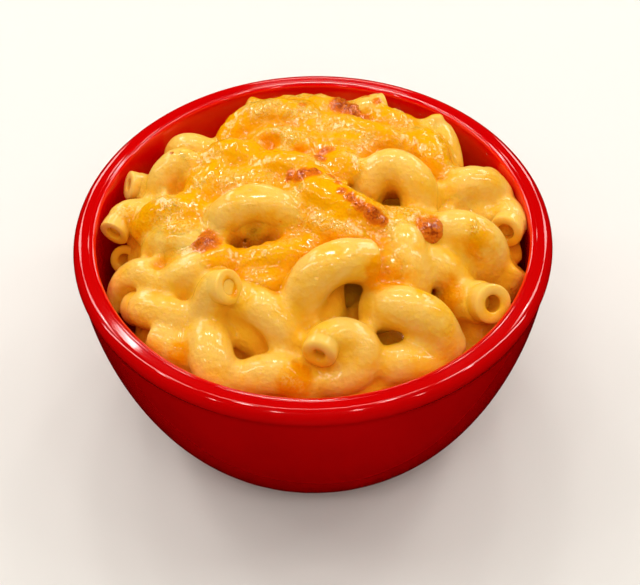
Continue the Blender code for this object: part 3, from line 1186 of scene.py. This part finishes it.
@dataclass(frozen=True)
class Heap:
    """What the food is like at any point: how cheesy it is, and how shut in.

    Attributes:
        elbows: All the macaroni.
        pools: Extra patches of cheese.
        pits: Dimples in the sauce and the cheese.
        heights: The heap from above.
        radius: A tube's outer radius.
        reach: How far one elbow's coat counts from its centre line.
    """

    elbows: Sequence[Elbow]
    pools: Sequence[Pool]
    pits: Sequence[Pit]
    heights: HeightMap
    radius: float = 4.5 * MM
    reach: float = 4.0 * MM

    def cover(self, points: np.ndarray) -> np.ndarray:
        """Return the cheese cover at each point.

        Args:
            points: One row of coordinates for each point.

        Returns:
            One number for each point, 0 to 1.
        """
        total = np.full(len(points), 1e-9)
        wanted = np.zeros(len(points))
        margin = 2.5 * self.radius
        for elbow in self.elbows:
            line = np.array([tuple(station) for station in elbow.path(9)])
            near = np.all((points > line.min(axis=0) - margin) & (points < line.max(axis=0) + margin), axis=1)
            weight = np.exp(-((self.nearest(points[near], line) / self.reach) ** 2))
            total[near] += weight
            wanted[near] += weight * elbow.coat.value
        cover = wanted / total
        for pool in self.pools:
            inside = 1.0 - smooth_step(0.2, 1.4, pool.distance(points))
            cover = cover * (1.0 - inside) + max(pool.cover, 0.0) * inside
        return np.clip(cover, 0.0, 1.0)

    def sag(self, points: np.ndarray) -> np.ndarray:
        """Return how far each point sinks into a dimple."""
        sunk = np.zeros(len(points))
        for pit in self.pits:
            sunk = np.maximum(sunk, pit.depth * MM * (1.0 - smooth_step(0.2, 1.2, pit.distance(points))))
        return sunk

    def paint(self, piece: bpy.types.Object, points: np.ndarray) -> None:
        """Store the cover and the shut-in places on a piece.

        Args:
            piece: The mesh to paint.
            points: Its points.
        """
        Workshop.paint(piece, "cheddar", self.cover(points))
        # The shut-in measure darkens the food's colour as painted shade; deep dimples are shut in further, so that
        # they are painted darker still.
        shut = self.heights.shut(points)
        for pit in self.pits:
            if pit.depth > 3.5:
                shut += 0.6 * (1.0 - smooth_step(0.6, 1.3, pit.distance(points)))
        Workshop.paint(piece, "shut", Workshop.softened(piece, shut, 8))

    @staticmethod
    def nearest(points: np.ndarray, line: np.ndarray) -> np.ndarray:
        """Return each point's distance from a line of short straight steps."""
        best = np.full(len(points), 1.0)
        for start, end in zip(line, line[1:]):
            step = end - start
            along = np.clip((points - start) @ step / (step @ step), 0.0, 1.0)
            best = np.minimum(best, np.linalg.norm(points - start - along[:, None] * step, axis=1))
        return best


# ---------------------------------------------------------------- the food's pieces


@dataclass(frozen=True)
class Macaroni:
    """The open ends of the elbows, as hollow tubes.

    Attributes:
        elbows: The pieces to make.
        heap: What the food is like at any point, for the finish.
        radius: A tube's outer radius.
        sides: Faces round a tube before it is smoothed.
        stations: Rings along a tube before it is smoothed.
        unevenness: How far a tube's surface wanders.
        shown: How much of a tube shows before the sauce hides it.
        skin: How deep a tube lies under the sauce.
    """

    elbows: Sequence[Elbow]
    heap: Heap
    radius: float = 4.5 * MM
    sides: int = 12
    stations: int = 21
    unevenness: float = 0.18 * MM
    shown: float = 9.0 * MM
    skin: float = 0.2 * MM

    def bare_end(self, elbow: Elbow) -> list[Vector]:
        """Return an elbow's centre line from its open end to where the sauce hides it."""
        path = elbow.path(self.stations)
        if elbow.cut is Cut.LAST:
            path.reverse()
        length, count = 0.0, 1
        while count < len(path) and length < self.shown:
            length += (path[count] - path[count - 1]).length
            count += 1
        return path[:count]

    @staticmethod
    def sweep(path: Sequence[Vector], radius: float, sides: int, name: str) -> bpy.types.Object:
        """Carry a ring along a path, turning it about each bend's own centre.

        Args:
            path: The points along the centre line.
            radius: The ring's radius.
            sides: Its faces.
            name: The new object's name.

        Returns:
            An open tube.
        """
        steps = [ahead - here for here, ahead in zip(path, path[1:])]
        middles = [(before + after).normalized() for before, after in zip(steps, steps[1:])]
        first = Macaroni.mirrored(middles[0], steps[0])
        last = Macaroni.mirrored(middles[-1], steps[-1])
        headings = [first, *middles, last]
        turn = headings[0].to_track_quat("Z", "Y").to_euler()
        bpy.ops.mesh.primitive_circle_add(vertices=sides, radius=radius, location=path[0], rotation=turn)
        tube = bpy.context.view_layer.objects.active
        tube.name = name
        with Workshop.editing(tube):
            for index, step in enumerate(steps):
                axis = headings[index].cross(headings[index + 1])
                angle = headings[index].angle(headings[index + 1])
                if angle < 0.01:
                    bpy.ops.mesh.extrude_region_move(TRANSFORM_OT_translate={"value": step})
                    continue
                axis.normalize()
                flat = step - axis * step.dot(axis)
                centre = path[index] + flat / 2 + axis.cross(flat) / (2 * math.tan(angle / 2))
                bpy.ops.mesh.spin(steps=1, angle=-angle, center=centre, axis=axis)
                bpy.ops.transform.translate(value=axis * step.dot(axis))
        return tube

    @staticmethod
    def mirrored(heading: Vector, step: Vector) -> Vector:
        """Return the heading at a step's other end, as in a round bend."""
        along = step.normalized()
        return (2 * heading.dot(along) * along - heading).normalized()

    def build(self) -> bpy.types.Object:
        """Make every tube, join them and coat them.

        Returns:
            The macaroni.
        """
        tubes = []
        for elbow in self.elbows:
            radius = self.radius * elbow.girth - self.skin
            tube = self.sweep(self.bare_end(elbow), radius, self.sides, elbow.name)
            with Workshop.editing(tube):
                bpy.ops.mesh.flip_normals()
            Workshop.apply(tube, "SOLIDIFY", thickness=radius * (1.0 - elbow.bore), offset=-1.0)
            tubes.append(Workshop.settle(tube))
        macaroni = Workshop.join(tubes, "macaroni")
        Workshop.apply(macaroni, "SUBSURF", levels=1, render_levels=1)
        points = Workshop.coordinates(macaroni)
        wander = ripple(points, 6.0 * MM, 2.0) * 0.7 + ripple(points, 2.5 * MM, 5.0) * 0.3
        points = under_ceiling(points + Workshop.normals(macaroni) * (wander * self.unevenness)[:, None])
        Workshop.reshape(macaroni, points)
        self.heap.paint(macaroni, points)
        bpy.ops.object.shade_smooth()
        macaroni.data.materials.append(PastaFinish().material())
        return macaroni


@dataclass(frozen=True)
class Filling:
    """Solid forms that follow the macaroni and fill the gaps between it.

    Attributes:
        elbows: The macaroni to follow.
        cored: Whether the domed core is part of it.
        radius: A tube's outer radius.
        crown: The core's height in the middle.
        edge: The core's height at its reach.
        reach: The core's radius at the edge.
        fall: How late the core's dome falls away.
        bottom: The core's flat underside.
    """

    elbows: Sequence[Elbow]
    cored: bool
    radius: float = 4.5 * MM
    crown: float = 51.0 * MM
    edge: float = 33.5 * MM
    reach: float = 50.0 * MM
    fall: float = 2.2
    bottom: float = 32.0 * MM

    def rods(self) -> bpy.types.Object:
        """Return every elbow as a solid rod, shortened where its end is open, with any core."""
        rods = [self.core()] if self.cored else []
        for elbow in self.elbows:
            path = elbow.path(19)
            for end, cut in zip((path[0], path[-1]), elbow.cut.value):
                if cut:
                    path = [place for place in path if (place - end).length >= elbow.plug * MM]
            rod = Macaroni.sweep(path, self.radius * elbow.girth, 12, f"rod_{elbow.name}")
            with Workshop.editing(rod):
                bpy.ops.mesh.fill_holes(sides=0)
                bpy.ops.mesh.normals_make_consistent(inside=False)
            rods.append(Workshop.settle(rod))
        return Workshop.join(rods, "rods")

    def core(self) -> bpy.types.Object:
        """Return the domed core under the macaroni."""
        bpy.ops.mesh.primitive_cylinder_add(vertices=64, radius=self.reach, depth=self.edge - self.bottom)
        core = bpy.context.view_layer.objects.active
        core.location.z = (self.edge + self.bottom) / 2
        Workshop.settle(core)
        with Workshop.editing(core):
            bpy.ops.mesh.select_all(action="DESELECT")
        for face in core.data.polygons:
            face.select = face.normal.z > 0.9
        rings = 8
        bpy.ops.object.mode_set(mode="EDIT")
        bpy.ops.mesh.select_mode(type="FACE")
        for ring in range(rings):
            part = 1.0 - ring / rings
            inner = 1.0 - (ring + 1) / rings
            lift = (self.crown - self.edge) * (part ** self.fall - inner ** self.fall)
            bpy.ops.mesh.inset(thickness=self.reach / rings * 0.98, depth=0.0)
            bpy.ops.transform.translate(value=(0.0, 0.0, lift))
        bpy.ops.mesh.select_mode(type="VERT")
        bpy.ops.object.mode_set(mode="OBJECT")
        return core

    def closed(
        self,
        name: str,
        gap: float,
        voxel: float,
        rounds: int,
        share: float,
        sag: Callable[[np.ndarray], np.ndarray],
    ) -> bpy.types.Object:
        """Fill every gap that a ball can't enter.

        Args:
            name: The new piece's name.
            gap: The ball's radius.
            voxel: The size of the new mesh's faces.
            rounds: How many times it is smoothed.
            share: The share of its faces that is kept.
            sag: Returns how far each point sinks.

        Returns:
            One closed shape.
        """
        shape = self.rods()
        shape.name = name
        Workshop.apply(shape, "REMESH", mode="VOXEL", voxel_size=voxel)
        Workshop.apply(shape, "DISPLACE", strength=gap, mid_level=0.0)
        Workshop.apply(shape, "REMESH", mode="VOXEL", voxel_size=voxel)
        Workshop.apply(shape, "DISPLACE", strength=-gap, mid_level=0.0)
        Workshop.apply(shape, "REMESH", mode="VOXEL", voxel_size=voxel)
        Workshop.keep_shell(shape)
        points = Workshop.coordinates(shape)
        points[:, 2] -= sag(points)
        Workshop.reshape(shape, points)
        Workshop.apply(shape, "REMESH", mode="VOXEL", voxel_size=voxel)
        Workshop.apply(shape, "SMOOTH", factor=0.5, iterations=rounds)
        Workshop.apply(shape, "DECIMATE", ratio=share)
        return shape


@dataclass(frozen=True)
class Sauce:
    """The cheese sauce that fills the bowl and clings between the elbows.

    Attributes:
        filling: The forms that it follows.
        heap: What the food is like at any point, for the finish.
        gap: The narrowest gap that it leaves open.
        skin: How far it stands over the tubes.
        unevenness: How far its skin wanders.
        sink: How far it lies under the tubes near their open ends.
        reach: How far from an open end the tube is bare.
        bottom: Its flat underside.
        voxel: The size of its faces.
    """

    filling: Filling
    heap: Heap
    gap: float = 0.8 * MM
    skin: float = 0.12 * MM
    unevenness: float = 0.26 * MM
    sink: float = 0.5 * MM
    reach: float = 6.5 * MM
    bottom: float = 38.0 * MM
    voxel: float = 0.5 * MM

    def bare(self, points: np.ndarray) -> np.ndarray:
        """Return 1 for points near an elbow's open end, falling to 0 away from it."""
        bare = np.zeros(len(points))
        for elbow in self.filling.elbows:
            path = elbow.path(9)
            for end, cut in zip((path[0], path[-1]), elbow.cut.value):
                if cut:
                    distance = np.linalg.norm(points - np.array(end), axis=1)
                    bare = np.maximum(bare, 1.0 - smooth_step(0.7, 1.0, distance / self.reach))
        return bare

    def build(self) -> bpy.types.Object:
        """Make the sauce.

        Returns:
            The sauce.
        """
        sauce = self.filling.closed("cheese_sauce", self.gap, self.voxel, 4, 0.5, self.heap.sag)
        with Workshop.editing(sauce):
            bpy.ops.mesh.bisect(
                plane_co=(0.0, 0.0, self.bottom), plane_no=(0.0, 0.0, 1.0), use_fill=True, clear_inner=True
            )
        points = Workshop.coordinates(sauce)
        wander = ripple(points, 6.0 * MM, 2.0) * 0.7 + ripple(points, 2.5 * MM, 5.0) * 0.3
        bare = self.bare(points)
        lift = (self.skin + wander * self.unevenness) * (1.0 - bare) - self.sink * bare
        points = under_ceiling(points + Workshop.normals(sauce) * lift[:, None])
        Workshop.reshape(sauce, points)
        self.heap.paint(sauce, points)
        Workshop.take(sauce)
        bpy.ops.object.shade_smooth()
        sauce.data.materials.append(SauceFinish().material())
        return sauce


@dataclass(frozen=True)
class MeltedCheese:
    """The melted cheddar that drapes over the heap, with its browned blisters.

    Attributes:
        filling: The forms that it follows.
        heap: Where it lies.
        blisters: Its browned spots.
        gap: The narrowest gap that it leaves open.
        thick: How far it stands over the tubes where it is thickest.
        sunk: How far it lies under them where there is none.
        bottom: Its flat underside, buried in the sauce.
        voxel: The size of its faces.
    """

    filling: Filling
    heap: Heap
    blisters: Sequence[Blister]
    gap: float = 2.4 * MM
    thick: float = 0.4 * MM
    sunk: float = 0.9 * MM
    bottom: float = 44.0 * MM
    voxel: float = 0.5 * MM

    def relief(self, points: np.ndarray, cover: np.ndarray) -> np.ndarray:
        """Return how far each point moves out or in.

        Args:
            points: One row of coordinates for each point.
            cover: The cheese cover at each point.

        Returns:
            One distance for each point.
        """
        waves = ripple(points, 5.0 * MM, 11.0)
        lumps = ripple(points, 2.2 * MM, 17.0)
        bubbles = np.abs(ripple(points, 1.1 * MM, 23.0))
        level = cover + waves * 0.15
        above = smooth_step(0.35, 1.0, level)
        return (
            self.thick * above
            - self.sunk * (1.0 - smooth_step(0.0, 0.4, level))
            + above * (waves * 0.3 + lumps * 0.34 + bubbles * 0.3) * MM
        )


    def scorch(self, points: np.ndarray) -> tuple[np.ndarray, np.ndarray]:
        """Return how browned each point is and how far it is puffed up."""
        browned = np.zeros(len(points))
        puffed = np.zeros(len(points))
        for blister in self.blisters:
            near = blister.distance(points) < 2.2
            local = points[near]
            distance = blister.distance(local) + ripple(local, 1.5 * MM, 31.0) * 0.3
            browned[near] = np.maximum(browned[near], blister.scorch * (1.0 - smooth_step(0.5, 1.7, distance)))
            dome = 1.0 - smooth_step(0.3, 1.1, distance)
            grain = 0.7 + 0.6 * np.abs(ripple(local, 0.8 * MM, 37.0))
            puffed[near] = np.maximum(puffed[near], blister.puff * MM * dome * grain)
        return browned, puffed

    def build(self) -> bpy.types.Object:
        """Make the cheese.

        Returns:
            The melted cheese.
        """
        cheese = self.filling.closed("melted_cheese", self.gap, self.voxel, 6, 1.0, self.heap.sag)
        with Workshop.editing(cheese):
            bpy.ops.mesh.bisect(
                plane_co=(0.0, 0.0, self.bottom), plane_no=(0.0, 0.0, 1.0), use_fill=True, clear_inner=True
            )
        points = Workshop.coordinates(cheese)
        cover = self.heap.cover(points)
        browned, puffed = self.scorch(points)
        lift = self.relief(points, cover) + puffed
        Workshop.reshape(cheese, under_ceiling(points + Workshop.normals(cheese) * lift[:, None]))
        self.heap.paint(cheese, points)
        Workshop.paint(cheese, "browned", browned)
        bpy.ops.object.shade_smooth()
        cheese.data.materials.append(CheddarFinish().material())
        return cheese


# ---------------------------------------------------------------- the studio


@dataclass(frozen=True)
class Softbox:
    """A flat studio light.

    Attributes:
        name: What it is called.
        place: Where it stands.
        aim: What it points at.
        width: Its width.
        depth: Its depth.
        power: Its power in watts.
        glints: Whether glossy surfaces mirror it.
        colour: Its colour.
    """

    name: str
    place: Place
    aim: Place
    width: float
    depth: float
    power: float
    glints: bool = True
    colour: Colour = (1.0, 0.97, 0.92)

    def build(self) -> None:
        """Add the light to the scene."""
        bpy.ops.object.light_add(type="AREA", location=self.place)
        lamp = bpy.context.view_layer.objects.active
        lamp.name = self.name
        lamp.data.shape = "RECTANGLE"
        lamp.data.size = self.width
        lamp.data.size_y = self.depth
        lamp.data.energy = self.power
        lamp.data.color = self.colour
        lamp.visible_glossy = self.glints
        lamp.rotation_euler = (Vector(self.aim) - Vector(self.place)).to_track_quat("-Z", "Y").to_euler()


@dataclass(frozen=True)
class Studio:
    """The pale floor, the lights and the camera.

    Attributes:
        softboxes: The lights.
        aim: The point the camera looks at.
        distance: From the camera to that point.
        pitch: How far the camera looks down, in degrees.
        roll: How far it leans, in degrees.
        lens: Its focal length on a 36 mm wide sensor, in millimetres.
    """

    softboxes: Sequence[Softbox]
    aim: Place = (1.44 * MM, 0.0, 31.43 * MM)
    distance: float = 390.0 * MM
    pitch: float = 47.69
    roll: float = -1.18
    lens: float = 89.85

    def build(self) -> None:
        """Set up the whole studio."""
        bpy.ops.mesh.primitive_plane_add(size=6.0)
        floor = bpy.context.view_layer.objects.active
        floor.name = "floor"
        floor.data.materials.append(TableFinish().material())
        floor.visible_glossy = False
        for softbox in self.softboxes:
            softbox.build()
        self.place_camera()
        world = bpy.data.worlds.new("room")
        world.use_nodes = True
        background = world.node_tree.nodes["Background"]
        background.inputs["Color"].default_value = (1.0, 0.96, 0.90, 1.0)
        compass = world.node_tree.nodes.new("ShaderNodeTexCoord")
        height = world.node_tree.nodes.new("ShaderNodeSeparateXYZ")
        sky = world.node_tree.nodes.new("ShaderNodeMapRange")
        sky.inputs["From Min"].default_value = -0.05
        sky.inputs["From Max"].default_value = 0.25
        sky.inputs["To Min"].default_value = 0.03
        sky.inputs["To Max"].default_value = 0.42
        world.node_tree.links.new(compass.outputs["Generated"], height.inputs["Vector"])
        world.node_tree.links.new(height.outputs["Z"], sky.inputs["Value"])
        world.node_tree.links.new(sky.outputs["Result"], background.inputs["Strength"])
        world.cycles_visibility.glossy = False
        bpy.context.scene.world = world
        bpy.context.scene.view_settings.view_transform = "Standard"

    def place_camera(self) -> None:
        """Stand the camera at its distance from the point it looks at."""
        turn = Matrix.Rotation(math.radians(90.0 - self.pitch), 3, "X") @ Matrix.Rotation(
            math.radians(self.roll), 3, "Z"
        )
        eye = Vector(self.aim) + turn @ Vector((0.0, 0.0, self.distance))
        bpy.ops.object.camera_add(location=eye, rotation=turn.to_euler())
        camera = bpy.context.view_layer.objects.active
        camera.data.lens = self.lens
        bpy.context.scene.camera = camera


SOFTBOXES = (
    Softbox("front", (0.0, -0.55, 0.78), (0.0, 0.0, 0.04), 0.6, 0.5, 2.2, False),
    Softbox("left_bar", (-0.55, 0.1, 0.65), (0.0, 0.0, 0.04), 0.05, 0.6, 0.8),
    Softbox("right_bar", (0.55, 0.1, 0.65), (0.0, 0.0, 0.04), 0.05, 0.6, 0.8),
    Softbox("left_edge_back", (-0.45, 0.80, 0.38), (0.0, 0.0, 0.05), 0.18, 0.26, 0.7),
    Softbox("left_edge_middle", (-0.56, 0.63, 0.54), (0.0, 0.0, 0.05), 0.18, 0.26, 0.7),
    Softbox("left_edge_front", (-0.57, 0.42, 0.72), (0.0, 0.0, 0.05), 0.18, 0.26, 0.7),
    Softbox("right_edge_back", (0.45, 0.80, 0.38), (0.0, 0.0, 0.05), 0.18, 0.26, 0.7),
    Softbox("right_edge_middle", (0.56, 0.63, 0.54), (0.0, 0.0, 0.05), 0.18, 0.26, 0.7),
    Softbox("right_edge_front", (0.57, 0.42, 0.72), (0.0, 0.0, 0.05), 0.18, 0.26, 0.7),
    Softbox("front_edge", (0.0, 0.16, 1.0), (0.0, 0.0, 0.05), 0.6, 0.04, 0.5),
    Softbox("back_edge", (0.03, 0.91, 0.42), (0.0, 0.0, 0.05), 0.25, 0.05, 0.3),
    Softbox("back_box", (-0.04, 0.52, 0.88), (0.0, 0.0, 0.04), 0.12, 0.08, 0.9),
    Softbox("back_left_box", (-0.27, 0.50, 0.83), (0.0, 0.0, 0.04), 0.08, 0.06, 0.4),
    Softbox("back_right_box", (0.24, 0.56, 0.85), (0.0, 0.0, 0.04), 0.08, 0.06, 0.4),
    *(
        Softbox(f"ceiling_{row}_{column}", (-0.66 + 0.44 * column, 0.55 - 0.55 * row, 1.0), (0.0, 0.0, 0.04),
                0.05, 0.05, 0.22)
        for row in range(3)
        for column in range(4)
    ),
)


# ---------------------------------------------------------------- putting it together


def show(piece: bpy.types.Object, node: str) -> None:
    """Attach a finished piece to its body, hide the CAD node that it stands for, and log its triangles.

    Args:
        piece: The finished piece.
        node: The CAD node.
    """
    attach(piece, ROOT)
    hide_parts(node)
    faces = sum(len(face.vertices) - 2 for face in piece.data.polygons)
    LOG.info("%s: %d triangles", piece.name, faces)


def main() -> None:
    """Build every piece and the studio, and note the sizes."""
    logging.basicConfig(level=logging.INFO, format="%(message)s")
    bpy.ops.object.select_all(action="DESELECT")
    show(Bowl().build(), "bowl")
    elbows = [*ELBOWS, *UnderLayer().elbows()]
    heap = Heap(elbows, POOLS, PITS, HeightMap(elbows, Heap.radius))
    opened = [elbow for elbow in elbows if elbow.cut is not Cut.NONE]
    show(Macaroni(opened, heap).build(), "macaroni_heap")
    show(Sauce(Filling(elbows, True), heap).build(), "macaroni_heap")
    draped = [elbow for elbow in elbows if elbow.coat is not Coat.BARE]
    cheese = MeltedCheese(Filling(draped, False), heap, BLISTERS)
    show(cheese.build(), "macaroni_heap")
    Studio(SOFTBOXES).build()


if __name__ == "__main__":
    main()
